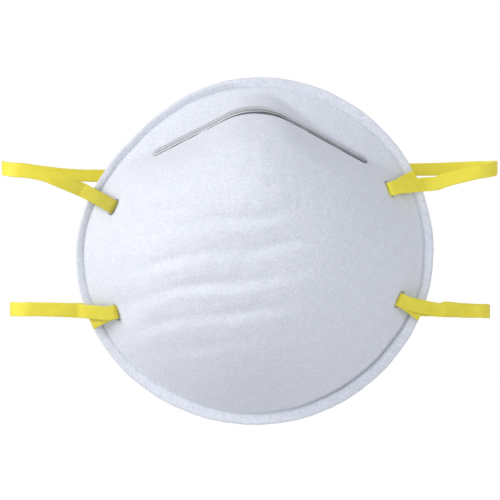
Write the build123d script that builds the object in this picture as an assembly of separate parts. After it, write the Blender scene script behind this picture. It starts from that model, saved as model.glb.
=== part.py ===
from build123d import *
import os
from math import atan2, cos, degrees, exp, hypot, pi, radians, sin, sqrt, tan

# Millimetres. +X is to the right seen from the front, -Y points away from the wearer's face and
# +Z is up. The origin is the centre of the face opening, in the plane where the rim meets the face.

# Rim: the pressed edge of the cup, a flat band round the face opening
RIM_RADIUS = 64.3           # mean radius of the rim's outer edge
RIM_OVAL = 0.95             # the rim is this much wider than round, and this much lower
FLAT_DEPTH = 4.15            # the rim is flattened at the wearer's upper right
FLAT_ANGLE = 137.5          # degrees, counted from +X towards +Z
FLAT_SPREAD = 29.0          # degrees
BAND_WIDTH = 3.5            # width of the flat band
BAND_THICKNESS = 1.4        # all layers together, welded flat

# Cup
DEPTH = 52.0                # from the face plane to the front of the dome
FULLNESS = 2.9              # higher is fuller near the rim
FOOT_RADIUS = 60.2          # where the dome meets the rim's band
FOOT_X = 0.6                # the dome's middle, seen from the front
FOOT_Z = -0.8
FOOT_SLOPE = 0.9            # the least slope of the wall beside the band
NOSE_X = 1.0                # the nose ridge is a little off the middle
NOSE_TILT = -0.8            # degrees, the ridge and its clip lean this much
NOSE_HALF_ANGLE = 29.7      # degrees, each wing of the clip below level, across its width
NOSE_ROUNDING = 21.0        # radius of the ridge where the wings meet
NOSE_SLOPE = 2.355          # rise of the nose roof for each mm downwards
NOSE_Y = 18.3               # how far the nose ridge is in front of the face plane, at the clip

# Layers, from outside to inside: name and thickness in the dome
LAYERS = (
    ("outer_cover", 0.9),
    ("filter_web_outer", 0.45),
    ("filter_web_inner", 0.45),
    ("moulded_shell", 0.8),
    ("inner_liner", 0.4),
)
WALL = sum(thickness for _, thickness in LAYERS)

# Nose clip and nose foam
CLIP_LENGTH = 87.0
CLIP_WIDTH = 5.0
CLIP_THICKNESS = 0.9
CLIP_Z = 51.0               # where the clip's middle crosses the ridge
CLIP_SUNK = 0.4             # how deep the clip is pressed into the cover
CLIP_CORNER = 2.0
CLIP_SHIFT = 1.6            # how far along itself the clip is off the ridge
FOAM_THICKNESS = 4.0
FOAM_WIDTH = 12.0
FOAM_SPAN = 66.0
FOAM_TOP = 48.0
FOAM_FALL = 0.54            # fall of each wing of the foam for each mm outwards

# Modelling
PROFILE_POINTS = 9
PAST_FOOT = 1.08            # the dome's profile runs on this far behind the face plane
OUTLINE_POINTS = 24
MARGIN = 5.0
FAR = 120.0

# Headbands: two flat elastics, each stapled at both ends
STRAP_WIDTH = 5.1
STRAP_THICKNESS = 0.8
FOLD_RADIUS = 0.7           # centre line of the elastic, folded back over the staple's crown
WIRE_RADIUS = 0.28
CROWN = 6.0                 # between the staple's legs
LEG_END = 2.3               # the clinched tip of each leg
WIRE_BEND = 0.5
CLINCH_DEPTH = 3.6          # from the strap's tail to the clinched tips, inside the cup
TAIL_GAP = 0.05             # between the elastic's tail and the cover

# Each strap end: side, staple x and z, angles seen from the front of the line across the crown,
# of the tail and of the strap that leads out, and where the strap clears the rim
STRAP_ENDS = {
    "upper_left": (-50.5, 15.6, 150.5, 150.5, 152.0, -62.0),
    "upper_right": (48.8, 22.1, 15.5, 29.0, 6.0, 62.0),
    "lower_left": (-49.6, -22.2, 191.0, 207.0, 175.0, -63.5),
    "lower_right": (52.4, -17.6, -27.3, -36.0, -12.0, 63.5),
}

# Each side of a headband: how far out it turns back, its rise seen from the front on the way out
# and on the way back, and the same rise where the side meets the middle of the band
SIDES = {
    "upper_left": (-91.6, ((-70.6, 25.4), (-78.0, 28.1), (-94.0, 30.3)), (-64.4, 27.5), 27.4),
    "upper_right": (88.4, ((69.5, 25.6), (77.0, 27.5), (91.0, 31.0)), (58.1, 29.6), 29.4),
    "lower_left": (-88.6, ((-72.0, -21.6), (-78.0, -21.4), (-91.0, -21.4)), (-64.0, -21.6), -21.8),
    "lower_right": (85.7, ((69.5, -21.1), (75.0, -21.6), (88.0, -22.3)), (66.0, -21.7), -21.6),
}
BAND_FRONT_Y = -0.6         # the elastic beside the rim, on its way out
BAND_BACK_Y = 14.4          # and on its way back, behind the rim
BAND_MIDDLE_Y = 21.0        # the middle of the band, furthest behind the rim
TURN_RADIUS = 7.4
SIDE_END = 50.0             # x where each side meets the band's middle


def rim_radius(angle):
    """The rim's outer edge, at an angle in radians from +X towards +Z."""
    turn = degrees(angle) - FLAT_ANGLE
    turn = (turn + 180) % 360 - 180
    flat = FLAT_DEPTH * exp(-((turn / FLAT_SPREAD) ** 2))
    return RIM_RADIUS + RIM_OVAL * cos(2 * angle) - flat


def dome_height(radius):
    """How far the dome stands in front of the face plane, at a distance from its middle."""
    return DEPTH * (1 - (radius / FOOT_RADIUS) ** FULLNESS)


def dome_slope(radius):
    """How steeply the dome falls at a distance from its middle."""
    return DEPTH * FULLNESS / FOOT_RADIUS * (radius / FOOT_RADIUS) ** (FULLNESS - 1)


def dome(depth):
    """The round dome, filled solid, from a depth inside its wall."""
    points = []
    for step in range(PROFILE_POINTS):
        radius = PAST_FOOT * FOOT_RADIUS * step / (PROFILE_POINTS - 1)
        inwards = Vector(-dome_slope(radius), -1).normalized() * depth
        points.append(Vector(radius, dome_height(radius)) + inwards)
    profile = Spline(points, tangents=[(1, 0), (1, -dome_slope(points[-1].X))])
    end = profile @ 1
    section = make_face(profile + Polyline(end, (0, end.Y), profile @ 0))
    middle = Plane(origin=(FOOT_X, 0, FOOT_Z), x_dir=(1, 0, 0), z_dir=(0, 0, 1))
    turned_over = Rot(180, 0, 0) * section
    return middle * revolve(turned_over, axis=Axis.Y)


def nose_frame():
    """The frame of the nose: x across it, y out of its roof, z down the roof."""
    lean = radians(NOSE_TILT)
    across = Vector(cos(lean), 0, sin(lean))
    up = Vector(-sin(lean), 0, cos(lean))
    down_roof = (Vector(0, -NOSE_SLOPE, 0) - up).normalized()
    out = down_roof.cross(across)
    rounding = NOSE_ROUNDING * (1 / cos(radians(NOSE_HALF_ANGLE)) - 1)
    return Plane(origin=Vector(NOSE_X, -NOSE_Y, CLIP_Z) + out * rounding, x_dir=across, z_dir=down_roof)


def nose_line(lift, left, right, rounding):
    """Two straight wings and a rounded middle, lifted off the nose roof."""
    slope = tan(radians(NOSE_HALF_ANGLE))
    middle = lift / cos(radians(NOSE_HALF_ANGLE))
    ends = ((-left, middle - left * slope), (right, middle - right * slope))
    return FilletPolyline(ends[0], (0, middle), ends[1], radius=rounding)


def under_roof(depth):
    """Everything below the nose roof, from a depth in the wall."""
    line = nose_line(-depth, FAR, FAR, NOSE_ROUNDING - depth)
    left, right = line @ 0, line @ 1
    section = make_face(line + Polyline(right, (right.X, -2 * FAR), (left.X, -2 * FAR), left))
    return extrude(nose_frame() * section, amount=FAR, both=True)


def foot_cone(depth):
    """The least height of the wall, rising from the band."""
    sunk = depth * sqrt(1 + FOOT_SLOPE**2)
    tall = FOOT_RADIUS * FOOT_SLOPE - sunk
    radius = tall / FOOT_SLOPE
    return Pos(FOOT_X, -tall / 2, FOOT_Z) * Rot(90, 0, 0) * Cone(radius, 0.0, tall)


def rim_slab(front, back, grow=0.0):
    """A slab of the rim's outline, from back to front millimetres in front of the face plane."""
    angles = [2 * pi * step / OUTLINE_POINTS for step in range(OUTLINE_POINTS)]
    points = [((rim_radius(a) + grow) * cos(a), (rim_radius(a) + grow) * sin(a)) for a in angles]
    outline = make_face(Spline(points, periodic=True))
    return extrude(Plane.XZ.offset(back) * outline, amount=front - back)


def in_front(solid, y):
    """What a solid has in front of the plane at y."""
    return solid & Pos(0, y - FAR / 2, 0) * Box(2 * FAR, FAR, 2 * FAR)


def cup_block(depth, back=0.0, grow=0.0):
    """The cup filled solid, from a depth in its wall to the face plane, with that much of the rim."""
    cup = in_front(dome(depth) & under_roof(depth), back) + (foot_cone(depth) & dome(depth))
    band = BAND_THICKNESS * (1 - depth / WALL)
    if band < 0.01:
        return cup
    return cup + rim_slab(band, -back, grow)


def layers():
    """The cup's layers, nested one in the other and welded flat at the rim."""
    made = {}
    depth = 0.0
    outside = cup_block(depth)
    for name, thickness in LAYERS:
        depth += thickness
        made[name] = outside - cup_block(depth, back=MARGIN, grow=MARGIN)
        outside = cup_block(depth)
    return made


def nose_clip():
    """The aluminium strip: two straight wings and a rounded middle."""
    slope = radians(NOSE_HALF_ANGLE)
    reach = CLIP_LENGTH / 2 * cos(slope) + NOSE_ROUNDING * (tan(slope) - slope) * cos(slope)
    shift = CLIP_SHIFT * cos(slope)
    line = nose_line(CLIP_THICKNESS / 2 - CLIP_SUNK, reach - shift, reach + shift, NOSE_ROUNDING)
    strip = extrude(nose_frame() * trace(line, CLIP_THICKNESS), amount=CLIP_WIDTH / 2, both=True)
    corners = strip.edges().filter_by(lambda edge: abs(edge.length - CLIP_THICKNESS) < 0.01)
    return fillet(corners, CLIP_CORNER)


def nose_foam():
    """The soft strip inside the cup, behind the clip."""
    fall = FOAM_SPAN / 2 * FOAM_FALL
    line = FilletPolyline(
        (NOSE_X - FOAM_SPAN / 2, FOAM_TOP - fall),
        (NOSE_X, FOAM_TOP),
        (NOSE_X + FOAM_SPAN / 2, FOAM_TOP - fall),
        radius=NOSE_ROUNDING,
    )
    band = extrude(Plane.XZ * trace(line, FOAM_WIDTH / NOSE_SLOPE), amount=FAR)
    inside = cup_block(WALL) & band
    return inside - cup_block(WALL + FOAM_THICKNESS, back=MARGIN)


def reach_to_rim(x, z, angle):
    """How far it is from a point to the rim's edge, seen from the front."""
    reach = 0.0
    while hypot(x + reach * cos(angle), z + reach * sin(angle)) < rim_radius(
        atan2(z + reach * sin(angle), x + reach * cos(angle))
    ):
        reach += 0.05
    return reach


def strap_frame(x, z, turn):
    """Where a strap end lies: x runs out to the rim's edge, y along the crown, z off the cup."""
    angle = radians(turn)
    start = Vector(x, -dome_height(hypot(x - FOOT_X, z - FOOT_Z)), z)
    drop = -start.Y - BAND_THICKNESS - TAIL_GAP
    slope = atan2(drop, reach_to_rim(x, z, angle))
    along = Vector(cos(angle) * cos(slope), sin(slope), sin(angle) * cos(slope))
    crown = Vector(-sin(angle), 0, cos(angle))
    return Plane(origin=start, x_dir=along, z_dir=along.cross(crown)), slope


def bend_in_plane(turn, seen, slope):
    """The angle, within the strap's plane, of a line that is seen from the front at another angle."""
    apart = radians(seen - turn)
    return atan2(sin(apart) * cos(slope), cos(apart))


def fold_ring():
    """The section of the strap's fold round the staple's crown, a half ring."""
    middle = Pos(0, TAIL_GAP + STRAP_THICKNESS / 2 + FOLD_RADIUS)
    outside = middle * Circle(FOLD_RADIUS + STRAP_THICKNESS / 2)
    inside = middle * Circle(FOLD_RADIUS - STRAP_THICKNESS / 2)
    half = Pos(-FOLD_RADIUS * 2, 0) * Rectangle(FOLD_RADIUS * 4, FOLD_RADIUS * 12)
    return (outside - inside) & half


def strap_end(x, z, turn, tail_turn, out_turn, exit_x):
    """A stapled end of a headband: the tail on the cup, and the fold that leads out over it."""
    frame, slope = strap_frame(x, z, turn)
    flat = Box(FAR / 2, STRAP_WIDTH, STRAP_THICKNESS, align=(Align.MIN, Align.CENTER, Align.MIN))
    low = Pos(0, 0, TAIL_GAP) * flat
    high = Pos(0, 0, TAIL_GAP + 2 * FOLD_RADIUS) * flat
    tail = frame * Rot(0, 0, degrees(bend_in_plane(turn, tail_turn, slope))) * low
    lead = frame * Rot(0, 0, degrees(bend_in_plane(turn, out_turn, slope))) * high
    fold = frame * extrude(Plane.XZ * fold_ring(), amount=STRAP_WIDTH / 2, both=True)
    side = 1 if exit_x > 0 else -1
    lead &= Pos(exit_x - side * FAR / 2, 0, 0) * Box(FAR, 2 * FAR, 2 * FAR)
    return (tail & rim_slab(FAR, 0)) + fold + lead


def staple(x, z, turn):
    """A closed wire staple: the crown over the strap's tail, and two legs clinched inside."""
    frame, _ = strap_frame(x, z, turn)
    crown = TAIL_GAP + STRAP_THICKNESS / 2 + FOLD_RADIUS
    inside = -CLINCH_DEPTH
    corner = CROWN / 2
    tip = corner - LEG_END
    line = FilletPolyline(
        (0, -tip, inside), (0, -corner, inside), (0, -corner, crown),
        (0, corner, crown), (0, corner, inside), (0, tip, inside),
        radius=WIRE_BEND,
    )
    section = Plane(origin=line @ 0, z_dir=line % 0) * Circle(WIRE_RADIUS)
    return frame * sweep(section, path=line)


def ribbon(plan, rise):
    """An elastic on edge, from its line seen from above and its line seen from the front."""
    seen_above = extrude(Plane.XY.offset(-FAR) * trace(plan, STRAP_THICKNESS), amount=2 * FAR)
    seen_front = extrude(Plane.XZ.offset(-FAR) * trace(rise, STRAP_WIDTH), amount=2 * FAR)
    return seen_above & seen_front


def lead_out(x, z, turn, out_turn, exit_x):
    """Where the middle of a strap end leaves the rim, as a point."""
    frame, slope = strap_frame(x, z, turn)
    bend = bend_in_plane(turn, out_turn, slope)
    start = frame.origin + frame.z_dir * (TAIL_GAP + STRAP_THICKNESS / 2 + 2 * FOLD_RADIUS)
    way = frame.x_dir * cos(bend) + frame.y_dir * sin(bend)
    return start + way * ((exit_x - start.X) / way.X)


def between(solid, low, high):
    """What a solid has between two planes across x."""
    return solid & Pos((low + high) / 2, 0, 0) * Box(high - low, 2 * FAR, 2 * FAR)


def headband_side(name):
    """One side of a headband: out from the rim, round the turn and back behind the rim."""
    out_x, way_out, way_back, end_z = SIDES[name]
    x, z, turn, _, out_turn, exit_x = STRAP_ENDS[name]
    start = lead_out(x, z, turn, out_turn, exit_x)
    side = 1 if out_x > 0 else -1
    end_x = side * SIDE_END
    plan = FilletPolyline(
        (start.X - 3 * side, start.Y - 0.5),
        (start.X + 10 * side, BAND_FRONT_Y),
        (out_x, BAND_FRONT_Y),
        (out_x, BAND_BACK_Y),
        (out_x - 15 * side, BAND_BACK_Y + 0.2),
        (end_x - 3 * side, side_y(SIDE_END - 3)),
        radius=[12, TURN_RADIUS, TURN_RADIUS, 60],
    )
    split_x = out_x - 2 * TURN_RADIUS * side
    front_rise = Polyline((start.X - 3 * side, start.Z), *way_out)
    back_rise = Polyline(way_out[-1], way_back, (end_x - 3 * side, end_z))
    out_and_round = ribbon(plan, front_rise)
    back = ribbon(plan, back_rise)
    near, far = sorted((exit_x, out_x + side))
    front_part = between(out_and_round, near, far) & front_side(BAND_FRONT_Y + TURN_RADIUS)
    turn_part = between(out_and_round, *sorted((split_x, out_x + side)))
    back_part = between(back, *sorted((end_x, split_x))) - front_side(BAND_FRONT_Y + TURN_RADIUS)
    return front_part + turn_part + back_part


def front_side(y):
    """Everything in front of the plane at y."""
    return Pos(0, y - FAR, 0) * Box(4 * FAR, 2 * FAR, 4 * FAR)


def side_y(x):
    """How far behind the rim the sides of a headband come in towards its middle."""
    return BAND_BACK_Y + 2.2 + (SIDE_END - x) * 0.07


def headband_middle(level):
    """The middle of a headband, which lies against the back of the head."""
    left = SIDES[level + "_left"][3]
    right = SIDES[level + "_right"][3]
    reach = SIDE_END + 3
    plan = FilletPolyline(
        (-reach, side_y(reach)), (-22, BAND_MIDDLE_Y), (22, BAND_MIDDLE_Y), (reach, side_y(reach)), radius=80
    )
    band = ribbon(plan, Line((-reach, left), (reach, right)))
    return between(band, -SIDE_END, SIDE_END)


def build():
    """Every piece of the mask, by name."""
    pieces = layers()
    clip = nose_clip()
    pieces["outer_cover"] -= clip
    pieces["nose_clip"] = clip
    pieces["nose_foam"] = nose_foam()
    for name, (x, z, turn, tail_turn, out_turn, exit_x) in STRAP_ENDS.items():
        end = strap_end(x, z, turn, tail_turn, out_turn, exit_x)
        pieces["outer_cover"] -= end
        pieces["strap_end_" + name] = end
        pieces["staple_" + name] = staple(x, z, turn)
        pieces["headband_side_" + name] = headband_side(name)
    for level in ("upper", "lower"):
        pieces["headband_middle_" + level] = headband_middle(level)
    return pieces


os.makedirs("parts", exist_ok=True)
for node, shape in build().items():
    export_step(shape, f"parts/{node}.step")
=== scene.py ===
import math

import bmesh
import bpy
import numpy as np
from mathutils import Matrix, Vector


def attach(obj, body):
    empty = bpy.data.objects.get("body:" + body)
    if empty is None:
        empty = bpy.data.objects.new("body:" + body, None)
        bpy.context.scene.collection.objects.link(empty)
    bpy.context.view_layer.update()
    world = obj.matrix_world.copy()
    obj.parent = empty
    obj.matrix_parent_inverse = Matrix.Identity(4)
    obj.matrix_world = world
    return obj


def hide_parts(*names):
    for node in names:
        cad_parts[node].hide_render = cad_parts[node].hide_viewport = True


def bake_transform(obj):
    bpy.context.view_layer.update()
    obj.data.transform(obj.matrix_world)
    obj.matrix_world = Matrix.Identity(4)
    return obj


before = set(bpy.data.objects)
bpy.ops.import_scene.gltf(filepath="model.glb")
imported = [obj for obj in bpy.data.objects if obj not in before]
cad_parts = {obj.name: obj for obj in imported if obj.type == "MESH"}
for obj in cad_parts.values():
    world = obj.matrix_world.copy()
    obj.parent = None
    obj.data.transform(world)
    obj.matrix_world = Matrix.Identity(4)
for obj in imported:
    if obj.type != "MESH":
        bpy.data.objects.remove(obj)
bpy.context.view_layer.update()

# The mask is worked out in millimetres, in the frame of the part, and made in metres.
MM = 0.001

# Rim and cup, as in the part's design
RIM_RADIUS = 64.3
RIM_OVAL = 0.95
FLAT_DEPTH = 4.15
FLAT_ANGLE = 137.5
FLAT_SPREAD = 29.0
BAND_WIDTH = 3.5
BAND_THICKNESS = 1.4
DEPTH = 52.0
FULLNESS = 2.9
FOOT_RADIUS = 60.2
FOOT_SLOPE = 0.9
FOOT_RISE = 16.0
FOOT_X = 0.6
FOOT_Z = -0.8
LAYERS = (
    ("outer_cover", 0.9, "cover_nonwoven"),
    ("filter_web_outer", 0.45, "filter_web"),
    ("filter_web_inner", 0.45, "filter_web"),
    ("moulded_shell", 0.8, "shell_felt"),
    ("inner_liner", 0.4, "liner_nonwoven"),
)
WALL = sum(layer[1] for layer in LAYERS)

# Nose, its clip and its foam, as in the part's design
NOSE_X = 1.0
NOSE_TILT = -0.8
NOSE_HALF_ANGLE = 29.7
NOSE_ROUNDING = 21.0
NOSE_SLOPE = 2.355
NOSE_Y = 18.3
CLIP_Z = 51.0
CLIP_LENGTH = 87.0
CLIP_WIDTH = 5.0
CLIP_THICKNESS = 0.9
CLIP_SUNK = 0.4
CLIP_CORNER = 2.0
CLIP_SHIFT = 1.6
FOAM_THICKNESS = 4.0
FOAM_WIDTH = 12.0
FOAM_SPAN = 66.0
FOAM_TOP = 48.0
FOAM_FALL = 0.54

# Headbands, as in the part's design
STRAP_WIDTH = 5.1
STRAP_THICKNESS = 0.8
FOLD_RADIUS = 0.7
TAIL_GAP = 0.05
# name: staple x and z, turn of the crown, of the tail and of the strap that leads out, and exit x
STRAP_ENDS = {
    "upper_left": (-50.5, 15.6, 150.5, 150.5, 152.0, -62.0),
    "upper_right": (48.8, 22.1, 15.5, 29.0, 6.0, 62.0),
    "lower_left": (-49.6, -22.2, 191.0, 207.0, 175.0, -63.5),
    "lower_right": (52.4, -17.6, -27.3, -36.0, -12.0, 63.5),
}

# Moulding of the felt: how softly its surfaces meet, dimples, ripples, lumps and the nose's crest
ROOF_BLEND = 6.0
FOOT_BLEND = 3.0
DIMPLE_RADIUS = 6.5
DIMPLE_EXTRA = 0.1
RIPPLE_LENGTH = 11.2
RIPPLE_HEIGHT = 0.72
LUMP_WAVES = 26
LUMP_LENGTHS = (3.5, 12.0)
LUMP_STEEPNESS = 0.0016
CREST_HEIGHT = 2.4
CREST_WIDTH = 15.0

# Pressed band: degrees from +X towards +Z of its joint, of the lap's two ends, of a nick and a bump
JOINT_ANGLE = 137.5
LAP_START = 94
LAP_END = 152
NICK_ANGLE = 51
BUMP_ANGLE = 270
CREASE_PLACE = 0.1
CREASE_WIDTH = 0.6
LOWEST_FELT = 0.2
FOOT_REACH = 4.0
TURN_TO_FLAT = 2.5
# Round the rim, as pairs of degrees and a value
BAND_WIDTHS = (
    (0, 3.6), (30, 3.3), (60, 3.6), (80, 3.9), (105, 3.2), (135, 2.5), (180, 2.7), (210, 3.4),
    (240, 4.4), (265, 3.8), (300, 4.7), (325, 4.5), (348, 3.4),
)
CREASE_DEPTHS = (
    (0, 0.45), (40, 0.25), (88, 0.25), (96, 0.4), (130, 0.35), (153, 0.55), (180, 0.5), (205, 0.3),
    (240, 0.2), (264, 0.25), (275, 0.5), (300, 0.7), (330, 0.7), (345, 0.45),
)
# Painted shade along the crease, partly its fused line, darkest at the lower right
CREASE_PAINTED_SHADE = (
    (0, 0.12), (40, 0.04), (88, 0.06), (96, 0.1), (130, 0.04), (153, 0.16), (180, 0.12), (200, 0.04),
    (235, 0.02), (262, 0.06), (273, 0.16), (300, 0.33), (330, 0.33), (345, 0.18),
)
# Painted light and shade on the band, lighter at the right and darker at the left
BAND_PAINTED_LIGHT_SHADE = (
    (0, 0.16), (15, 0.13), (45, 0.0), (90, 0.0), (105, 0.0), (135, 0.05), (150, 0.03), (165, -0.12),
    (182, -0.1), (197, 0.03), (225, 0.08), (270, 0.08), (325, 0.06), (348, 0.18),
)

# Cut edge of the layers at the rim
EDGE_ROUNDING = 0.4
INNER_ROUNDING = 0.04
EDGE_INSET = 0.1
EDGE_MARGIN = 0.3
EDGE_TURNS = np.radians([0, 25, 50, 75])

# Mesh of the layers: points round the rim, and steps in millimetres up the dome and round its foot
FINENESS = {"outer_cover": (480, 0.55, 0.2), "inner_liner": (360, 1.0, 0.4)}
HIDDEN_FINENESS = (240, 2.0, 0.4)
CENTRE_ALLOWANCE = 1.5
CENTRE_HOLE = 0.5
CRISP_CORNER = math.radians(50)

# Nose clip: its rolled edge, the groove along its lower side, as shares of its half width, with painted
# shade in the groove, and painted shade and light on its lip
CLIP_STATIONS = 181
CLIP_EDGE = 0.22
CLIP_CROWN = 0.06
GROOVE_PLACE = 0.5
GROOVE_WIDTH = 0.17
GROOVE_DEPTH = 0.35
GROOVE_SHADE = 0.88
# Painted shade on the lip towards +X, and painted light on it towards -X
LIP_PAINTED_SHADE = 0.45
LIP_PAINTED_LIGHT = 0.15

# Nose foam: how round its peak and its section are, and its tapered ends
FOAM_STATIONS = 121
FOAM_LOOP = 40
FOAM_PEAK = 60
FOAM_SQUARE = 0.35
FOAM_GAP = 0.05
FOAM_END = 0.93

# Each side of a headband: how far out it turns back, points on the way out, the height at the turn,
# the point where it shows again on the way back, and its height where it meets the middle
SIDES = {
    "upper_left": (-91.6, ((-70.6, 25.4), (-78.0, 28.1)), 30.1, (-64.4, 27.5), 27.4),
    "upper_right": (88.4, ((69.5, 25.6), (77.0, 27.5)), 30.3, (58.1, 29.6), 29.4),
    "lower_left": (-88.6, ((-72.0, -21.6), (-78.0, -21.4)), -21.4, (-64.0, -21.6), -21.8),
    "lower_right": (85.7, ((69.5, -21.1), (75.0, -21.6)), -22.2, (66.0, -21.7), -21.6),
}
BAND_FRONT_Y = -0.6
BAND_BACK_Y = 14.4
BAND_MIDDLE_Y = 21.0
SIDE_END = 50.0
MIDDLE_KEY = 22.0
# Degrees that a strap leans back: on its way out, on its way back, and in the middle
FRONT_LEAN = {"upper_left": 14.0, "upper_right": 12.0, "lower_left": 0.0, "lower_right": 12.0}
BACK_LEAN = {"upper_left": 33.0, "upper_right": 30.0, "lower_left": 26.0, "lower_right": 26.0}
MIDDLE_LEAN = {"upper": 18.0, "lower": 12.0}
BEND_LENGTH = 6.0
LEAD_LENGTH = 40.0
TAIL_STEPS = 24
TRIMMED_STEPS = 16
STRAP_CORNER = 0.25
STRAP_CROWN = 0.04
# How much darker a strap is near its staple, as painted shade; below 0 it is lighter, as painted light
STRAP_PAINTED_SHADE = {"strap_front_upper_left": 0.44, "strap_front_lower_left": 0.24, "strap_front_upper_right": -0.06}
STRAP_PAINTED_SHADE_X = 50.0
STRAP_PAINTED_SHADE_REACH = 18.0

# Stage, in metres, except what the camera sees, in millimetres
VIEW_WIDTH = 182.0
VIEW_CENTRE = (-1.46, 0.2)
CAMERA_DISTANCE = 3.0
SENSOR_WIDTH = 36.0
FLOOR_Z = -0.16
FLOOR_REACH = 1.9
WORLD_STRENGTH = 0.47
# name: place, diameter, power and colour of each lamp, all turned to the mask
LAMPS = {
    "key": ((-1.58, -0.7, 0.8), 1.7, 25.0, (1, 0.995, 0.975)),
    "fill": ((1.44, -1.2, 0.3), 1.3, 7.0, (0.95, 0.97, 1.0)),
    "front": ((0.0, -2.2, 0.3), 1.2, 4.5, (1, 1, 1)),
    "back": ((0.7, 1.9, 1.0), 1.5, 11.0, (1, 1, 1)),
}


# ---------------------------------------------------------------- shape of the cup

def hump(offset, width):
    """A smooth hump: 1 at no offset, and close to 0 beyond two widths."""
    return np.exp(-((offset / width) ** 2))


def smooth(share):
    """Runs from 0 to 1 with no corner at either end."""
    share = np.clip(share, 0, 1)
    return share * share * (3 - 2 * share)


def around(angle, marks):
    """A value that changes evenly round the rim between pairs of degrees and a value."""
    turns = np.array([mark[0] for mark in marks], float)
    values = np.array([mark[1] for mark in marks], float)
    return np.interp(np.degrees(angle) % 360, turns, values, period=360)


def rim_radius(angle):
    """The rim's outer edge, at an angle in radians from +X towards +Z."""
    turn = (np.degrees(angle) - FLAT_ANGLE + 180) % 360 - 180
    return RIM_RADIUS + RIM_OVAL * np.cos(2 * angle) - FLAT_DEPTH * hump(turn, FLAT_SPREAD)


def band_width(angle):
    """The pressed band is a little wider below than above."""
    return around(angle, BAND_WIDTHS)


def soft_min(first, second, blend):
    """The lower of two values, rounded over where they are within a blend of each other."""
    near = np.maximum(blend - np.abs(first - second), 0) / blend
    return np.minimum(first, second) - near**3 * blend / 6


def ridge(across):
    """The drop of the nose's line away from its middle: two straight wings and an arc."""
    slope = math.radians(NOSE_HALF_ANGLE)
    within = np.minimum(np.abs(across), NOSE_ROUNDING * math.sin(slope))
    arc = NOSE_ROUNDING / math.cos(slope) - np.sqrt(NOSE_ROUNDING**2 - within**2)
    straight = np.abs(across) * math.tan(slope)
    return np.where(np.abs(across) < NOSE_ROUNDING * math.sin(slope), arc, straight)


def plain_forward(x, z):
    """How far the cup stands in front of the face plane, without its small marks."""
    angle = np.arctan2(z, x)
    inner = rim_radius(angle) - band_width(angle)
    radius = np.hypot(x, z)
    dome = DEPTH * (1 - (radius / inner) ** FULLNESS)
    lean = math.radians(NOSE_TILT)
    across = (x - NOSE_X) * math.cos(lean) + (z - CLIP_Z) * math.sin(lean)
    up = -(x - NOSE_X) * math.sin(lean) + (z - CLIP_Z) * math.cos(lean)
    drop = ridge(across) - ridge(np.zeros(1))[0]
    roof = NOSE_Y - NOSE_SLOPE * up - math.sqrt(NOSE_SLOPE**2 + 1) * drop
    cup = soft_min(dome, roof, ROOF_BLEND)
    foot = BAND_THICKNESS + FOOT_RISE * (1 - np.exp(-FOOT_SLOPE * (inner - radius) / FOOT_RISE))
    return -soft_min(-cup, -foot, FOOT_BLEND)


def cad_height(x, z):
    """Where the part's design puts the outside of the dome."""
    return DEPTH * (1 - (math.hypot(x - FOOT_X, z - FOOT_Z) / FOOT_RADIUS) ** FULLNESS)


def staple_dimples(x, z):
    """The soft cover is pulled in round each staple, down to the part's dome."""
    drop = np.zeros_like(x)
    for sx, sz, *_ in STRAP_ENDS.values():
        above = plain_forward(np.array([sx]), np.array([sz]))[0] - cad_height(sx, sz)
        drop += (above + DIMPLE_EXTRA) * np.exp(-(((x - sx) ** 2 + (z - sz) ** 2) / DIMPLE_RADIUS**2))
    return drop


def ripples(x, z):
    """Soft ripples in the felt, across the wearer's right cheek."""
    drift = 2.2 * np.sin(0.085 * x + 0.6) + 1.1 * np.sin(0.19 * x - 0.07 * z + 2.0)
    along = z - 0.16 * x + 9.6 + 0.002 * np.minimum(x + 20, 0) ** 2 + 0.35 * drift
    patch = np.exp(-(((x + 16) / 33) ** 4) - ((z + 4) / 32) ** 4)
    swell = 0.75 + 0.25 * np.sin(0.11 * x + 0.23 * z)
    wave = np.cos(2 * np.pi * along / RIPPLE_LENGTH)
    second_wave = 0.25 * np.cos(4 * np.pi * along / RIPPLE_LENGTH + 0.8)
    return -RIPPLE_HEIGHT * patch * swell * (wave + second_wave)


def unevenness(x, z):
    """Soft lumps of a needled felt, from a few fixed waves."""
    rng = np.random.default_rng(7)
    total = np.zeros_like(x)
    for _ in range(LUMP_WAVES):
        length = rng.uniform(*LUMP_LENGTHS)
        turn = rng.uniform(0, 2 * np.pi)
        phase = rng.uniform(0, 2 * np.pi)
        along = x * np.cos(turn) + z * np.sin(turn)
        total += length * LUMP_STEEPNESS * np.sin(2 * np.pi * along / length + phase)
    return total


def crest(x, z):
    """The nose's ridge runs down from the clip and fades into the dome."""
    middle = NOSE_X + 0.06 * (CLIP_Z - z)
    fade = np.clip((z + 6) / 34, 0, 1) * np.clip((CLIP_Z - 2 - z) / 10, 0, 1)
    return CREST_HEIGHT * hump(x - middle, CREST_WIDTH) * fade * fade * (3 - 2 * fade)


def forward(x, z, marks=1.0):
    """The cup with its crest and dimples, and its small marks at a share of their depth."""
    moulded = plain_forward(x, z) + crest(x, z) - staple_dimples(x, z)
    return moulded + marks * (ripples(x, z) + unevenness(x, z))


def inward(x, z):
    """The unit vector into the wall, at points of the cup."""
    step = 0.4
    along = (plain_forward(x + step, z) - plain_forward(x - step, z)) / (2 * step)
    rising = (plain_forward(x, z + step) - plain_forward(x, z - step)) / (2 * step)
    length = np.sqrt(along**2 + 1 + rising**2)
    return along / length, 1 / length, rising / length


# ---------------------------------------------------------------- mesh helpers

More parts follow.
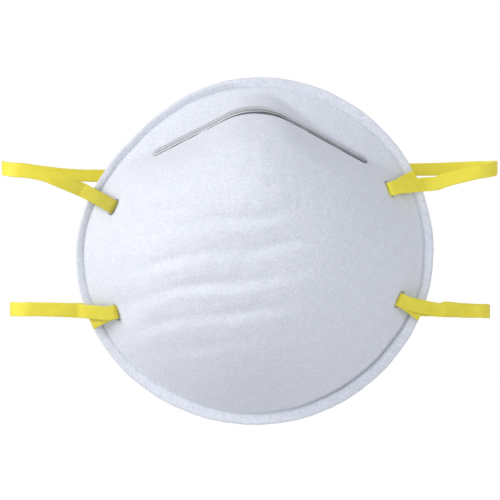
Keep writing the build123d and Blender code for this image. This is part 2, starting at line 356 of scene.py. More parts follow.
def mesh_object(name, points, faces, slot):
    """A smooth mesh object from points in millimetres."""
    mesh = bpy.data.meshes.new(name)
    mesh.from_pydata([tuple(p) for p in np.asarray(points) * MM], [], faces)
    mesh.validate()
    mesh.update()
    mesh.polygons.foreach_set("use_smooth", [True] * len(mesh.polygons))
    mesh.materials.append(MATERIALS[slot])
    obj = bpy.data.objects.new(name, mesh)
    bpy.context.scene.collection.objects.link(obj)
    return obj


def grid_faces(rings, spokes):
    """Quads between closed rings of points."""
    faces = []
    for ring in range(rings - 1):
        for spoke in range(spokes):
            beside = (spoke + 1) % spokes
            start, end = ring * spokes, (ring + 1) * spokes
            faces.append((start + spoke, start + beside, end + beside, end + spoke))
    return faces


def tube_faces(rings, size):
    """Quads round a tube of rings of points, closed at both ends."""
    ends = [tuple(range(size))[::-1], tuple(range((rings - 1) * size, rings * size))]
    return grid_faces(rings, size) + ends


def turn_outwards(obj):
    """Turns every face outwards, and keeps the mesh's sharp corners crisp."""
    solid = bmesh.new()
    solid.from_mesh(obj.data)
    bmesh.ops.recalc_face_normals(solid, faces=solid.faces)
    for edge in solid.edges:
        if len(edge.link_faces) == 2 and edge.calc_face_angle(0) > CRISP_CORNER:
            edge.smooth = False
    solid.to_mesh(obj.data)
    solid.free()


def set_painted_shading(obj, shade):
    """Painted shade and light: how much of its colour each point keeps."""
    attribute = obj.data.attributes.new("painted_shading", "FLOAT", "POINT")
    attribute.data.foreach_set("value", np.asarray(shade, np.float32))


# ---------------------------------------------------------------- materials

class Shader:
    """A Principled material, built node by node."""

    def __init__(self, name, colour, roughness, **sockets):
        """Plain at first: sockets are other inputs, with _ for a space in their names."""
        self.material = bpy.data.materials.new(name)
        self.material.use_nodes = True
        self.tree = self.material.node_tree
        self.bsdf = self.tree.nodes["Principled BSDF"]
        self.bsdf.inputs["Base Color"].default_value = (*colour, 1)
        self.bsdf.inputs["Roughness"].default_value = roughness
        for socket, value in sockets.items():
            self.bsdf.inputs[socket.replace("_", " ")].default_value = value
        coordinates = self.tree.nodes.new("ShaderNodeTexCoord")
        self.place = coordinates.outputs["Object"]

    def link(self, start, end):
        """Joins an output to an input."""
        self.tree.links.new(start, end)

    def scaled(self, scale=(1, 1, 1), turn=(0, 0, 0)):
        """The piece's own coordinates, in millimetres, stretched and turned."""
        mapping = self.tree.nodes.new("ShaderNodeMapping")
        mapping.inputs["Scale"].default_value = [s / MM for s in scale]
        mapping.inputs["Rotation"].default_value = turn
        self.link(self.place, mapping.inputs["Vector"])
        return mapping.outputs["Vector"]

    def noise(self, size, detail=3.0, scale=(1, 1, 1), turn=(0, 0, 0), distortion=0.0, roughness=0.55):
        """Noise whose lumps are about size millimetres."""
        node = self.tree.nodes.new("ShaderNodeTexNoise")
        node.inputs["Scale"].default_value = 1 / size
        node.inputs["Detail"].default_value = detail
        node.inputs["Roughness"].default_value = roughness
        node.inputs["Distortion"].default_value = distortion
        self.link(self.scaled(scale, turn), node.inputs["Vector"])
        return node.outputs["Fac"]

    def ramp(self, value, *stops):
        """A colour from a value, through stops of a place and a colour."""
        node = self.tree.nodes.new("ShaderNodeValToRGB")
        node.color_ramp.elements[0].position = stops[0][0]
        node.color_ramp.elements[1].position = stops[-1][0]
        for place, _ in stops[1:-1]:
            node.color_ramp.elements.new(place)
        for element, (_, colour) in zip(node.color_ramp.elements, stops):
            element.color = (*colour, 1)
        self.link(value, node.inputs["Fac"])
        return node.outputs["Color"]

    def math(self, operation, first, second):
        """A sum on two outputs or numbers."""
        node = self.tree.nodes.new("ShaderNodeMath")
        node.operation = operation
        for socket, value in zip(node.inputs, (first, second)):
            if isinstance(value, (int, float)):
                socket.default_value = value
            else:
                self.link(value, socket)
        return node.outputs["Value"]

    def multiply(self, first, second):
        """Two colours multiplied."""
        node = self.tree.nodes.new("ShaderNodeMix")
        node.data_type = "RGBA"
        node.blend_type = "MULTIPLY"
        node.inputs["Factor"].default_value = 1.0
        self.link(first, node.inputs[6])
        self.link(second, node.inputs[7])
        return node.outputs[2]

    def shade(self):
        """Painted shade and light that the mesh itself carries, darker along its fused and hidden lines
        and lighter where light is painted in.
        """
        node = self.tree.nodes.new("ShaderNodeAttribute")
        node.attribute_name = "painted_shading"
        return node.outputs["Color"]

    def colour_from(self, colour):
        """The colour follows an output."""
        self.link(colour, self.bsdf.inputs["Base Color"])

    def rough_from(self, value, low, high):
        """The roughness follows a value from 0 to 1, between two limits."""
        node = self.tree.nodes.new("ShaderNodeMapRange")
        node.inputs["To Min"].default_value = low
        node.inputs["To Max"].default_value = high
        self.link(value, node.inputs["Value"])
        self.link(node.outputs["Result"], self.bsdf.inputs["Roughness"])

    def bump(self, height, distance, strength=1.0):
        """Bump of a height that runs from 0 to 1, over a distance in millimetres."""
        node = self.tree.nodes.new("ShaderNodeBump")
        node.inputs["Distance"].default_value = distance * MM
        node.inputs["Strength"].default_value = strength
        self.link(height, node.inputs["Height"])
        if self.bsdf.inputs["Normal"].is_linked:
            self.link(self.bsdf.inputs["Normal"].links[0].from_socket, node.inputs["Normal"])
        self.link(node.outputs["Normal"], self.bsdf.inputs["Normal"])


def felt(name, light, dark, fibre, bump, paints_shade):
    """White non-woven: fine tangled fibres, and a slightly uneven thickness."""
    made = Shader(name, light, 0.93, Sheen_Weight=0.12, Sheen_Roughness=0.6, Specular_IOR_Level=0.2)
    steep = made.noise(fibre, 4.0, scale=(1.0, 1.0, 0.42), distortion=0.6)
    across = made.noise(fibre, 4.0, scale=(0.5, 1.0, 1.0), turn=(0, 0.5, 0), distortion=0.6)
    cloud = made.noise(5.0, 3.0)
    fibres = made.math("MULTIPLY", steep, across)
    tint = made.ramp(fibres, (0.16, dark), (0.34, light))
    shade = made.ramp(cloud, (0.35, (0.975, 0.975, 0.98)), (0.65, (1, 1, 1)))
    colour = made.multiply(tint, shade)
    # Painted shade and light, carried by the mesh, darken or lighten the colour
    if paints_shade:
        colour = made.multiply(colour, made.shade())
    made.colour_from(colour)
    made.bump(fibres, bump)
    made.bump(made.noise(1.6, 3.0, distortion=0.8), 0.16)
    made.bump(cloud, 0.16)
    return made.material


def aluminium():
    """Dull rolled strip, drawn along its length."""
    made = Shader("clip_aluminium", (0.7, 0.71, 0.76), 0.5, Metallic=0.45)
    rolled = made.noise(0.5, 3.0, scale=(0.08, 1, 1))
    spots = made.noise(1.3, 4.0)
    tint = made.ramp(spots, (0.3, (0.61, 0.61, 0.65)), (0.7, (0.72, 0.725, 0.765)))
    # Painted shade in the groove and under the edge, and painted light and shade on the lip, carried by
    # the mesh
    made.colour_from(made.multiply(tint, made.shade()))
    made.rough_from(rolled, 0.45, 0.6)
    made.bump(rolled, 0.012)
    return made.material


def elastic():
    """Yellow elastic with fine ribs along it."""
    made = Shader(
        "yellow_elastic", (0.91, 0.79, 0.065), 0.48, Subsurface_Weight=0.15, Subsurface_Scale=0.001,
        Specular_IOR_Level=0.4,
    )
    made.bsdf.inputs["Subsurface Radius"].default_value = (1.0, 0.8, 0.2)
    ribs = made.noise(0.55, 2.0, scale=(0.06, 1, 1))
    cloud = made.noise(4.0, 3.0)
    tint = made.ramp(cloud, (0.3, (0.87, 0.75, 0.055)), (0.7, (0.94, 0.83, 0.075)))
    # Painted shade near the staples on the left, and painted light near the upper right one, carried by
    # the mesh
    made.colour_from(made.multiply(tint, made.shade()))
    made.rough_from(cloud, 0.42, 0.56)
    made.bump(ribs, 0.02)
    made.bump(made.noise(0.25, 2.0), 0.006)
    return made.material


def foam():
    """Grey open-celled foam, its pores darker as painted shade."""
    made = Shader("foam", (0.62, 0.63, 0.66), 0.9, Sheen_Weight=0.1, Specular_IOR_Level=0.2)
    cells = made.tree.nodes.new("ShaderNodeTexVoronoi")
    cells.inputs["Scale"].default_value = 1 / 0.55
    made.link(made.scaled(), cells.inputs["Vector"])
    pores = cells.outputs["Distance"]
    # Painted shade: the pores are darker
    made.colour_from(made.ramp(pores, (0.05, (0.44, 0.45, 0.48)), (0.5, (0.66, 0.67, 0.7))))
    made.bump(pores, 0.25)
    return made.material


def steel():
    """Drawn steel wire."""
    made = Shader("staple_steel", (0.45, 0.45, 0.47), 0.3, Metallic=1.0)
    drawn = made.noise(0.3, 2.0)
    made.colour_from(made.ramp(drawn, (0.3, (0.4, 0.4, 0.42)), (0.7, (0.52, 0.52, 0.54))))
    made.rough_from(drawn, 0.24, 0.4)
    made.bump(drawn, 0.004)
    return made.material


# slot: light and dark colour, fibre size, bump, and whether the mesh carries painted shade and light
FELTS = {
    "cover_nonwoven": ((0.83, 0.855, 0.93), (0.72, 0.745, 0.815), 0.55, 0.16, True),
    "filter_web": ((0.80, 0.81, 0.83), (0.66, 0.67, 0.70), 0.4, 0.1, False),
    "shell_felt": ((0.52, 0.52, 0.54), (0.40, 0.40, 0.42), 0.8, 0.2, False),
    "liner_nonwoven": ((0.80, 0.81, 0.84), (0.66, 0.67, 0.71), 0.45, 0.1, False),
}
MATERIALS = {name: felt(name, *look) for name, look in FELTS.items()}
MATERIALS["clip_aluminium"] = aluminium()
MATERIALS["foam"] = foam()
MATERIALS["staple_steel"] = steel()
MATERIALS["yellow_elastic"] = elastic()


# ---------------------------------------------------------------- cup

def rim_marks(angle, out):
    """Small marks on the band: out is the distance out from the crease."""
    degree = np.degrees(angle) % 360
    wave = 0.05 * np.sin(7 * angle + 1.0) + 0.04 * np.sin(17 * angle + 0.4) + 0.02 * np.sin(41 * angle)
    joint = 0.28 * hump(degree - JOINT_ANGLE, 1.3) * smooth(out / 1.0)
    lap = 0.16 * smooth((degree - LAP_START) / 1.5) * smooth((LAP_END - degree) / 8)
    lap = lap * smooth((1.5 - out) / 1.0)
    nick = 0.3 * hump(degree - NICK_ANGLE, 0.7) * smooth((out - 1.4) / 0.8)
    bump = 0.35 * hump(degree - BUMP_ANGLE, 1.6) * hump(out, 0.9)
    return wave + joint - lap - nick + bump


def rim_edge(angle):
    """The pressed rim's cut edge, which isn't quite even."""
    wobble = 0.1 * np.sin(5 * angle + 2) + 0.06 * np.sin(23 * angle) + 0.04 * np.sin(61 * angle + 1)
    return rim_radius(angle) + wobble


def inner_radius(angle):
    """The crease, where the wall meets the pressed band."""
    return rim_edge(angle) - band_width(angle)


def cup_point(angle, inside, depth):
    """Points of the cup at a depth in its wall, at distances inside the crease (less than 0 is out)."""
    inner = inner_radius(angle)
    share = np.clip(inside / inner, -1, 1)
    radius = inner - share * inner
    x = radius * np.cos(angle)
    z = radius * np.sin(angle)
    marks = 1 - depth / WALL
    height = np.where(inside > 0, np.maximum(forward(x, z, marks), LOWEST_FELT), BAND_THICKNESS)
    flat = smooth(1 - inside / TURN_TO_FLAT)
    groove = around(angle, CREASE_DEPTHS) * hump(inside - CREASE_PLACE, CREASE_WIDTH)
    pressed = np.where(inside <= 0, rim_marks(angle, -inside), rim_marks(angle, 0 * inside) * flat)
    height = height - groove + pressed * marks
    ix, iy, iz = inward(x, z)
    ix, iy, iz = ix * (1 - flat), iy * (1 - flat) + flat, iz * (1 - flat)
    length = np.sqrt(ix**2 + iy**2 + iz**2)
    thickness = BAND_THICKNESS + (WALL - BAND_THICKNESS) * smooth(inside / FOOT_REACH) - groove
    inset = depth / WALL * thickness / length
    return np.stack([x + ix * inset, -height + iy * inset, z + iz * inset], axis=-1)


def painted_rim_shading(angle, inside):
    """Painted shade and light on the cover, as how much of its colour it keeps: 1 on open felt, less
    along the crease (its fused line and painted shade), the band lighter or darker by angle as painted
    light and shade, and a darker stripe and line along the lap.
    """
    out = -inside
    degree = np.degrees(angle) % 360
    line = around(angle, CREASE_PAINTED_SHADE)
    shade = 1 - line * hump(inside - CREASE_PLACE, 0.45 + 0.45 * line)
    shade += around(angle, BAND_PAINTED_LIGHT_SHADE) * smooth((out - 0.2) / 0.6)
    lap = 0.14 * smooth((degree - (LAP_START + 1)) / 3) * smooth((LAP_END + 1 - degree) / 6)
    lap_line = hump(out - 1.6, 0.35)
    lap_face = 0.5 * smooth(out / 0.5) * smooth((1.6 - out) / 0.4)
    return shade - lap * (lap_line + lap_face)


def distances(dome_step, foot_step):
    """Distances inside the crease, from near the middle to the crease, then out along the band."""
    far = RIM_RADIUS - FLAT_DEPTH - BAND_WIDTH - CENTRE_ALLOWANCE
    dome = np.arange(far, FOOT_REACH, -dome_step)
    foot = np.arange(FOOT_REACH, -BAND_WIDTH + EDGE_ROUNDING + EDGE_MARGIN, -foot_step)
    return np.concatenate([dome, foot])


def layer_mesh(name, depth, thickness, slot, spokes, dome_step, foot_step):
    """One layer of the cup: its outside, its cut edge and its inside, as one closed mesh."""
    angles = np.linspace(0, 2 * np.pi, spokes, endpoint=False)[None, :]
    reach = spread(distances(dome_step, foot_step)[:, None], angles)
    outside = cup_point(angles, reach, depth)
    inside = cup_point(angles, reach, depth + thickness)
    rings = np.concatenate([outside, *cut_edge(angles, depth, thickness), inside[::-1]])
    points = rings.reshape(-1, 3)
    faces = grid_faces(len(rings), spokes)
    first, last = len(points), len(points) + 1
    base = len(points) - spokes
    faces += [(first, s, (s + 1) % spokes)[::-1] for s in range(spokes)]
    faces += [(last, base + (s + 1) % spokes, base + s)[::-1] for s in range(spokes)]
    centres = [points[:spokes].mean(axis=0), points[-spokes:].mean(axis=0)]
    points = np.concatenate([points, centres])
    made = mesh_object(name, points, faces, slot)
    turn_outwards(made)
    # Painted shade and light on the outside of the cover only
    shade = np.ones(len(points))
    if depth == 0:
        shade[: reach.size] = painted_rim_shading(angles, reach).ravel()
    set_painted_shading(made, shade)
    return made


def spread(reach, angles):
    """Fits the distances to each spoke, so that they end close to the middle and to the rim's edge."""
    stretch = (inner_radius(angles) - CENTRE_HOLE - FOOT_REACH) / (reach.max() - FOOT_REACH)
    dome = FOOT_REACH + (reach - FOOT_REACH) * stretch
    end = EDGE_ROUNDING + EDGE_MARGIN
    band = reach * (band_width(angles) - end) / (BAND_WIDTH - end)
    return np.where(reach > FOOT_REACH, dome, np.where(reach < 0, band, reach))


def edge_ring(angles, edge, rounding, turn, y):
    """A ring of a cut edge, at a turn from 0 on its face to a right angle at its outermost."""
    radius = edge - rounding * (1 - np.sin(turn))
    return np.stack([radius * np.cos(angles), y + 0 * angles, radius * np.sin(angles)], axis=-1)


def cut_edge(angles, depth, thickness):
    """The layer's edge at the rim: rounded at the front of the cover and at the back of the liner."""
    front = -BAND_THICKNESS * (1 - depth / WALL)
    back = -BAND_THICKNESS * (1 - (depth + thickness) / WALL)
    cover, liner = depth == 0, depth + thickness > WALL - 0.01
    edge = rim_edge(angles) - (EDGE_INSET if cover or liner else 0.0)
    at_front = min(EDGE_ROUNDING, back - front) if cover else INNER_ROUNDING
    at_back = min(EDGE_ROUNDING, back - front) if liner else INNER_ROUNDING
    marks = rim_marks(angles, band_width(angles)) * (1 - depth / WALL)
    fronts, backs = [], []
    for turn in EDGE_TURNS:
        y = front - marks * np.cos(turn) + at_front * (1 - np.cos(turn))
        fronts.append(edge_ring(angles, edge, at_front, turn, y))
        backs.append(edge_ring(angles, edge, at_back, turn, back - at_back * (1 - np.cos(turn))))
    return np.concatenate(fronts), np.concatenate(backs[::-1])


def make_layers():
    """The cup's layers, from the cover in to the liner."""
    depth = 0.0
    for name, thickness, slot in LAYERS:
        fineness = FINENESS.get(name, HIDDEN_FINENESS)
        made = layer_mesh(name + "_cloth", depth, thickness, slot, *fineness)
        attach(made, "root")
        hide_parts(name)
        depth += thickness


# ---------------------------------------------------------------- nose clip and foam

def nose_axes():
    """Origin and axes of the nose: across it, out of its roof, and down the roof."""
    lean = math.radians(NOSE_TILT)
    across = Vector((math.cos(lean), 0, math.sin(lean)))
    up = Vector((-math.sin(lean), 0, math.cos(lean)))
    down = (Vector((0, -NOSE_SLOPE, 0)) - up).normalized()
    out = down.cross(across)
    return Vector((NOSE_X, -NOSE_Y, CLIP_Z)), across, out, down


def bent_line(along, lift):
    """A point of the clip's line, at a distance along it from the ridge, lifted off the roof."""
    slope = math.radians(NOSE_HALF_ANGLE)
    turn = np.clip(along / NOSE_ROUNDING, -slope, slope)
    straight = along - np.clip(along, -NOSE_ROUNDING * slope, NOSE_ROUNDING * slope)
    x = NOSE_ROUNDING * np.sin(turn) + straight * math.cos(slope)
    y = -NOSE_ROUNDING * (1 - np.cos(turn)) - np.abs(straight) * math.sin(slope)
    return x + np.sin(turn) * lift, y + np.cos(turn) * lift


def clip_outline():
    """Places along the clip, and its half width there, with rounded ends."""
    along = np.sin(np.linspace(-np.pi / 2, np.pi / 2, CLIP_STATIONS)) * CLIP_LENGTH / 2
    past = np.maximum(np.abs(along) - (CLIP_LENGTH / 2 - CLIP_CORNER), 0)
    half = CLIP_WIDTH / 2 - (CLIP_CORNER - np.sqrt(np.maximum(CLIP_CORNER**2 - past**2, 0)))
    return along, half


def clip_section():
    """The strip's section, as (share of its half width, inset, height, painted shade), down the roof
    first.
    """
    top = CLIP_THICKNESS - CLIP_SUNK
    turns = np.radians([0, 30, 60, 90])
    side = [(-CLIP_EDGE * (1 - math.sin(t)), top - CLIP_EDGE * (1 - math.cos(t))) for t in turns]
    loop = [(1, inset, lift, 1.0) for inset, lift in side]
    # Painted shadow under both edges: the lower edge's face and a thin lip, partly a glue line, and the
    # upper edge's foot
    loop += [(1, 0.0, 0.3, 1.0), (1, 0.0, 0.18, 0.3), (1, 0.3, 0.1, 0.25), (1, 0.3, -CLIP_SUNK, 0.4)]
    loop += [(-1, -0.06, -CLIP_SUNK, 0.5), (-1, 0.0, 0.0, 0.5)]
    loop += [(-1, inset, lift, 1.0) for inset, lift in reversed(side)]
    # Painted shade in the groove
    for share in np.linspace(-0.9, 0.9, 25):
        groove = hump(share - GROOVE_PLACE, GROOVE_WIDTH)
        lift = top + CLIP_CROWN * (1 - share**2) - GROOVE_DEPTH * groove
        loop.append((share, -CLIP_EDGE * abs(share), lift, 1 - GROOVE_SHADE * groove))
    return loop


def clip_shade(along, section):
    """Painted shade in the groove and under the edge, with painted light on the lip towards -X and
    painted shade on it towards +X.
    """
    shade = np.array([part[3] for part in section])
    lip = np.array([max(part[0] - GROOVE_PLACE, 0) / (1 - GROOVE_PLACE) for part in section])
    lip_painted_shade = np.interp(along / CLIP_LENGTH, (-0.12, 0.08), (-LIP_PAINTED_LIGHT, LIP_PAINTED_SHADE))
    return shade * (1 - lip_painted_shade[:, None] * lip)


def make_clip():
    """The aluminium strip, its ends rounded, with a groove along its lower edge."""
    along, half = clip_outline()
    origin, across, out, down = nose_axes()
    section = clip_section()
    points = []
    for place, wide in zip(along, half):
        dent = 0.05 * math.sin(place * 0.35) + 0.04 * math.sin(place * 0.93 + 1)
        for share, inset, lift, _ in section:
            x, y = bent_line(place + CLIP_SHIFT, lift + dent * (lift > 0))
            points.append(origin + across * x + out * y + down * (share * max(wide + inset, 0.02)))
    faces = tube_faces(len(along), len(section))
    made = mesh_object("nose_clip_strip", points, faces, "clip_aluminium")
    turn_outwards(made)
    set_painted_shading(made, clip_shade(along, section).ravel())
    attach(made, "root")
    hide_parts("nose_clip")


def foam_ring(place):
    """A ring of the foam, at a place from -1 to 1 along it, as x, z and depth behind the cover."""
    end = 1 - max(abs(place) - FOAM_END, 0) ** 2 / (1 - FOAM_END) ** 2 * FOAM_SQUARE
    fall = math.sqrt((place * FOAM_SPAN / 2) ** 2 + FOAM_PEAK) - math.sqrt(FOAM_PEAK)
    points = []
    for turn in np.linspace(0, 2 * np.pi, FOAM_LOOP, endpoint=False):
        c, s = math.cos(turn), math.sin(turn)
        wide = math.copysign(abs(c) ** FOAM_SQUARE, c) * end
        tall = 0.5 + 0.5 * math.copysign(abs(s) ** FOAM_SQUARE, s)
        z = FOAM_TOP - FOAM_FALL * fall + wide * FOAM_WIDTH / NOSE_SLOPE / 2
        thickness = (FOAM_THICKNESS - 0.3) * (1 - 0.12 * wide**2) * (0.75 + 0.25 * end)
        points.append((NOSE_X + place * FOAM_SPAN / 2, z, WALL + FOAM_GAP + tall * thickness))
    return points


def make_foam():
    """The soft strip stuck inside the cup behind the clip, with rounded sides."""
    grid = np.array([foam_ring(place) for place in np.linspace(-1, 1, FOAM_STATIONS)])
    x, z, depth = grid[..., 0], grid[..., 1], grid[..., 2]
    lumps = 0.12 * np.sin(x * 0.55 + z) * np.sin(z * 1.7 + 0.3 * x)
    depth = depth + lumps * (depth > WALL + 1)
    ix, iy, iz = inward(x, z)
    points = np.stack([x + ix * depth, iy * depth - forward(x, z, 0), z + iz * depth], axis=-1)
    faces = tube_faces(FOAM_STATIONS, FOAM_LOOP)
    made = mesh_object("nose_foam_pad", points.reshape(-1, 3), faces, "foam")
    turn_outwards(made)
    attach(made, "root")
    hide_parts("nose_foam")


# ---------------------------------------------------------------- headbands

def reach_to_rim(start, way):
    """How far it is from a point to the rim's edge, seen from the front."""
    reach = np.arange(0, 40, 0.02)
    x = start[0] + way[0] * reach
    z = start[2] + way[2] * reach
    beyond = np.hypot(x, z) > rim_radius(np.arctan2(z, x))
    return reach[np.argmax(beyond)]


def strap_frame(name):
    """Where a strap end lies: origin, then x out to the rim's edge, y along the crown, z off the cup."""
    x, z, turn = STRAP_ENDS[name][:3]
    angle = math.radians(turn)
    start = Vector((x, -cad_height(x, z), z))
    drop = -start.y - BAND_THICKNESS - TAIL_GAP
    slope = math.atan2(drop, reach_to_rim(start, (math.cos(angle), 0, math.sin(angle))))
    level = math.cos(slope)
    along = Vector((math.cos(angle) * level, math.sin(slope), math.sin(angle) * level))
    crown = Vector((-math.sin(angle), 0, math.cos(angle)))
    return start, along, crown, along.cross(crown), slope


def bend_in_plane(name, seen):
    """The bend in the strap's own plane that looks like an angle seen from the front."""
    turn = math.radians(seen - STRAP_ENDS[name][2])
    slope = strap_frame(name)[4]
    return math.atan2(math.sin(turn) * math.cos(slope), math.cos(turn))


def flat_run(name, seen, height, length, steps):
    """A run in the strap's plane from across the crown, bending to an angle seen from the front."""
    origin, along, crown, off, _ = strap_frame(name)
    bend = bend_in_plane(name, seen)
    point = origin + off * height
    stations = []
    step = length / steps
    for count in range(steps + 1):
        turn = bend * float(smooth(count * step / BEND_LENGTH))
        stations.append((point.copy(), crown * math.cos(turn) - along * math.sin(turn)))
        point = point + (along * math.cos(turn) + crown * math.sin(turn)) * step
    return stations


def curve_through(points, step):
    """Points every step millimetres along a smooth curve from the second point to the last but one."""
    line = []
    for a, b, c, d in zip(points, points[1:], points[2:], points[3:]):
        gaps = [math.sqrt((q - p).length) for p, q in ((a, b), (b, c), (c, d))]
        t1, t2, t3 = gaps[0], gaps[0] + gaps[1], sum(gaps)
        count = max(int((c - b).length / step), 1)
        for k in range(count):
            t = t1 + (t2 - t1) * k / count
            second = b.lerp(c, (t - t1) / (t2 - t1))
            before = a.lerp(b, t / t1).lerp(second, t / t2)
            after = second.lerp(c.lerp(d, (t - t2) / (t3 - t2)), (t - t1) / (t3 - t1))
            line.append(before.lerp(after, (t - t1) / (t2 - t1)))
    line.append(points[-2])
    return line


def tail_and_fold(name):
    """Stations of the stapled end: in from the rim's edge along the cup, and over the crown."""
    origin, along, crown, off, _ = strap_frame(name)
    tail_turn = STRAP_ENDS[name][3]
    low = TAIL_GAP + STRAP_THICKNESS / 2
    way = Vector((math.cos(math.radians(tail_turn)), 0, math.sin(math.radians(tail_turn))))
    bend = bend_in_plane(name, tail_turn)
    real = along * math.cos(bend) + crown * math.sin(bend)
    length = reach_to_rim(origin, way) / math.hypot(real.x, real.z)
    tail = flat_run(name, tail_turn, low, length, TAIL_STEPS)[::-1]
    centre = origin + off * (low + FOLD_RADIUS)
    fold = []
    for turn in np.linspace(-np.pi / 2, -3 * np.pi / 2, 17)[1:-1]:
        point = centre + along * (FOLD_RADIUS * math.cos(turn)) + off * (FOLD_RADIUS * math.sin(turn))
        fold.append((point, crown))
    return tail, fold


def leaning(name, tilt):
    """The way across a strap that leans back by some degrees, with the sign of its fold's crown."""
    up = math.copysign(1, strap_frame(name)[2].z)
    turn = math.radians(tilt)
    return Vector((0, math.sin(turn) * up, math.cos(turn) * up))


def turn_point(name, turn):
    """A point of the turn back, from 0 at its start to pi at its end."""
    out_x, way_out, turn_z, way_back, _ = SIDES[name]
    side = math.copysign(1, out_x)
    radius = (BAND_BACK_Y - BAND_FRONT_Y) / 2
    share = turn / math.pi
    x = out_x - side * radius * (1 - math.sin(turn))
    if share < 0.5:
        near = abs((out_x - side * radius) - way_out[-1][0]) / abs(out_x - way_out[-1][0])
        z = way_out[-1][1] + (turn_z - way_out[-1][1]) * (near + (1 - near) * 2 * share)
    else:
        z = turn_z + (way_back[1] - turn_z) * (2 * share - 1) * radius / abs(out_x - way_back[0])
    return Vector((x, BAND_FRONT_Y + radius * (1 - math.cos(turn)), z))


def lead_out(name, side):
    """Stations from the fold out to where the strap leaves its own plane."""
    out_turn, exit_x = STRAP_ENDS[name][4:]
    high = TAIL_GAP + STRAP_THICKNESS / 2 + 2 * FOLD_RADIUS
    run = flat_run(name, out_turn, high, LEAD_LENGTH, 80)
    return [station for station in run if (station[0].x - exit_x) * side < 0]


def front_path(name):
    """Stations from the tail over the fold and out to the furthest point of the turn."""
    out_x, way_out, *_ = SIDES[name]
    side = math.copysign(1, out_x)
    tail, fold = tail_and_fold(name)
    lead = lead_out(name, side)
    start, wide = lead[-1]
    way = (start - lead[-5][0]).normalized()
    drift = 3.5 * way.z / abs(way.x)
    down = Vector((start.x + 4.5 * side, start.y * 0.4 + BAND_FRONT_Y * 0.6, start.z + drift))
    keys = [start - way * 4, start, down]
    keys += [Vector((x, BAND_FRONT_Y, z)) for x, z in way_out]
    keys += [turn_point(name, 0), turn_point(name, 0.5)]
    stations = tail + fold + lead
    for point in curve_through(keys, 0.8)[1:]:
        share = float(smooth(abs(point.x - start.x) / 14))
        stations.append((point, wide.lerp(leaning(name, FRONT_LEAN[name]), share).normalized()))
    for turn in np.linspace(0, np.pi / 2, 21)[1:]:
        stations.append((turn_point(name, turn), turn_lean(name, turn)))
    return stations


def turn_lean(name, turn):
    """The strap stands up straight at the far point of its turn."""
    return leaning(name, FRONT_LEAN[name] * (1 - turn / (np.pi / 2)))


def back_path(name):
    """Stations from the turn's furthest point back behind the rim to the middle of the headband."""
    out_x, _, _, way_back, end_z = SIDES[name]
    side = math.copysign(1, out_x)
    level, hand = name.split("_")
    other_z = SIDES[level + ("_right" if hand == "left" else "_left")][4]
    middle_z = (end_z + other_z) / 2
    last = turn_point(name, np.pi)
    keys = [
        turn_point(name, np.pi - 0.5),
        last,
        Vector((out_x - 15 * side, BAND_BACK_Y + 0.3, last.z + (way_back[1] - last.z) * 0.5)),
        Vector((way_back[0], BAND_BACK_Y + 1.2, way_back[1])),
        Vector((side * SIDE_END, BAND_BACK_Y + 2.4, end_z)),
        Vector((side * MIDDLE_KEY, BAND_MIDDLE_Y - 0.9, (end_z + middle_z) / 2)),
        Vector((0, BAND_MIDDLE_Y, middle_z)),
        Vector((-side * MIDDLE_KEY, BAND_MIDDLE_Y - 0.9, (other_z + middle_z) / 2)),
    ]
    turns = np.linspace(np.pi / 2, np.pi, 21)[:-1]
    stations = [(turn_point(name, turn), leaning(name, 0)) for turn in turns]
    for point in curve_through(keys, 1.0):
        share = float(smooth((abs(out_x) - abs(point.x)) / 26))
        settle = float(smooth((SIDE_END - abs(point.x)) / 45))
        tilt = BACK_LEAN[name] * share * (1 - settle) + MIDDLE_LEAN[level] * settle
        stations.append((point, leaning(name, tilt)))
    return stations


def section_outline():
    """The elastic's section: flat, with rounded edges a little thinner than the middle."""
    half_w, half_t = STRAP_WIDTH / 2 - STRAP_CORNER, STRAP_THICKNESS / 2
    outline = []
    for sx, sy, first in ((1, 1, 0), (-1, 1, 90), (-1, -1, 180), (1, -1, 270)):
        for turn in np.radians([first, first + 30, first + 60, first + 90]):
            x = sx * half_w + STRAP_CORNER * math.cos(turn)
            outline.append((x, sy * (half_t - STRAP_CORNER) + STRAP_CORNER * math.sin(turn)))
        if first in (0, 180):
            for share in (0.25, 0.5, 0.75):
                crown = STRAP_CROWN * (1 - (2 * share - 1) ** 2)
                outline.append((sx * half_w * (1 - 2 * share), sy * (half_t + crown)))
    return outline


def ribbon(name, stations, nodes, trim=0):
    """A flat elastic through its stations, its first trim stations slid to end along the rim's edge."""
    outline = section_outline()
    centres = np.array([station[0] for station in stations])
    tangents = np.gradient(centres, axis=0)
    tangents /= np.linalg.norm(tangents, axis=1)[:, None]
    wides = np.array([station[1] for station in stations])
    wides -= tangents * np.sum(wides * tangents, axis=1)[:, None]
    wides /= np.linalg.norm(wides, axis=1)[:, None]
    normals = np.cross(tangents, wides)
    travelled = np.concatenate([[0], np.cumsum(np.linalg.norm(np.diff(centres, axis=0), axis=1))])
    breath = 1 + 0.012 * np.sin(travelled * 0.7) + 0.008 * np.sin(travelled * 1.9 + 1)
    points = []
    for count, (centre, tangent, wide, normal) in enumerate(zip(centres, tangents, wides, normals)):
        for w, t in outline:
            point = centre + wide * w * breath[count] + normal * t
            if count < trim:
                point = point + tangent * tail_shift(point, tangent) * (1 - count / trim)
            points.append(point)
    faces = tube_faces(len(stations), len(outline))
    made = mesh_object(name, points, faces, "yellow_elastic")
    turn_outwards(made)
    # Painted shade near the staple, or painted light where the value is below 0
    close = hump(np.abs(centres[:, 0]) - STRAP_PAINTED_SHADE_X, STRAP_PAINTED_SHADE_REACH)
    set_painted_shading(made, np.repeat(1 - STRAP_PAINTED_SHADE.get(name, 0) * close, len(outline)))
    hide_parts(*nodes)
    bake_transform(made)


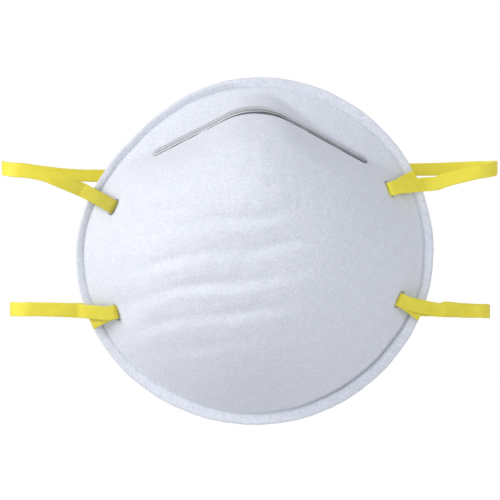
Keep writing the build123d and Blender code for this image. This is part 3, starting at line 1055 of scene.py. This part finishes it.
def tail_shift(point, tangent):
    """How far to slide a point of the tail's end, so that the end is cut along the rim's edge."""
    reach = np.arange(-4, 4, 0.05)
    x = point[0] + tangent[0] * reach
    z = point[2] + tangent[2] * reach
    gap = np.hypot(x, z) - rim_radius(np.arctan2(z, x))
    return reach[np.argmin(np.abs(gap))]


def make_headbands():
    """Each side's elastic in two pieces, in front of its turn and behind it."""
    for name, (out_x, *_) in SIDES.items():
        level = name.split("_")[0]
        ribbon(
            "strap_front_" + name, front_path(name),
            ["strap_end_" + name, "headband_side_" + name], trim=TRIMMED_STEPS,
        )
        ribbon(
            "strap_back_" + name, back_path(name),
            ["headband_side_" + name, "headband_middle_" + level],
        )


def dress_staples():
    """The staples keep the part's shape, and get their steel."""
    for name in STRAP_ENDS:
        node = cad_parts["staple_" + name]
        node.data.materials.clear()
        node.data.materials.append(MATERIALS["staple_steel"])


# ---------------------------------------------------------------- stage, light and camera

def make_stage():
    """A pale floor, well below the mask."""
    mesh = bpy.data.meshes.new("studio_floor")
    corners = ((-1, -1), (1, -1), (1, 1), (-1, 1))
    points = [(x * FLOOR_REACH, y * FLOOR_REACH, FLOOR_Z) for x, y in corners]
    mesh.from_pydata(points, [], [(0, 1, 2, 3)])
    floor = bpy.data.objects.new("studio_floor", mesh)
    bpy.context.scene.collection.objects.link(floor)
    material = bpy.data.materials.new("studio_floor")
    material.use_nodes = True
    bsdf = material.node_tree.nodes["Principled BSDF"]
    bsdf.inputs["Base Color"].default_value = (0.76, 0.76, 0.77, 1)
    bsdf.inputs["Roughness"].default_value = 0.9
    bsdf.inputs["Specular IOR Level"].default_value = 0.1
    mesh.materials.append(material)


def area_light(name, place, size, power, colour):
    """A round lamp, turned to the mask."""
    data = bpy.data.lights.new(name, "AREA")
    data.shape = "DISK"
    data.size = size
    data.energy = power
    data.color = colour
    lamp = bpy.data.objects.new(name, data)
    lamp.location = place
    lamp.rotation_euler = (Vector((0, 0, 0)) - Vector(place)).to_track_quat("-Z", "Y").to_euler()
    bpy.context.scene.collection.objects.link(lamp)


def make_light():
    """Soft lamps, in a pale room that is white where it is seen."""
    world = bpy.data.worlds.new("studio")
    world.use_nodes = True
    tree = world.node_tree
    glow = tree.nodes["Background"]
    glow.inputs["Color"].default_value = (0.93, 0.95, 1.0, 1)
    glow.inputs["Strength"].default_value = WORLD_STRENGTH
    white = tree.nodes.new("ShaderNodeBackground")
    white.inputs["Strength"].default_value = 1.0
    white.inputs["Color"].default_value = (1, 1, 1, 1)
    path = tree.nodes.new("ShaderNodeLightPath")
    either = tree.nodes.new("ShaderNodeMixShader")
    tree.links.new(path.outputs["Is Camera Ray"], either.inputs["Fac"])
    tree.links.new(glow.outputs["Background"], either.inputs[1])
    tree.links.new(white.outputs["Background"], either.inputs[2])
    tree.links.new(either.outputs["Shader"], tree.nodes["World Output"].inputs["Surface"])
    bpy.context.scene.world = world
    for name, look in LAMPS.items():
        area_light(name, *look)


def make_camera():
    """A long lens, level with the mask and straight in front of it."""
    data = bpy.data.cameras.new("camera")
    data.sensor_width = SENSOR_WIDTH
    data.lens = SENSOR_WIDTH * CAMERA_DISTANCE / (VIEW_WIDTH * MM)
    data.clip_end = 50.0
    camera = bpy.data.objects.new("camera", data)
    camera.location = (VIEW_CENTRE[0] * MM, -CAMERA_DISTANCE, VIEW_CENTRE[1] * MM)
    camera.rotation_euler = (math.pi / 2, 0, 0)
    bpy.context.scene.collection.objects.link(camera)
    bpy.context.scene.camera = camera


make_layers()
make_clip()
make_foam()
make_headbands()
dress_staples()
make_stage()
make_light()
make_camera()
bpy.context.scene.view_settings.view_transform = "Standard"
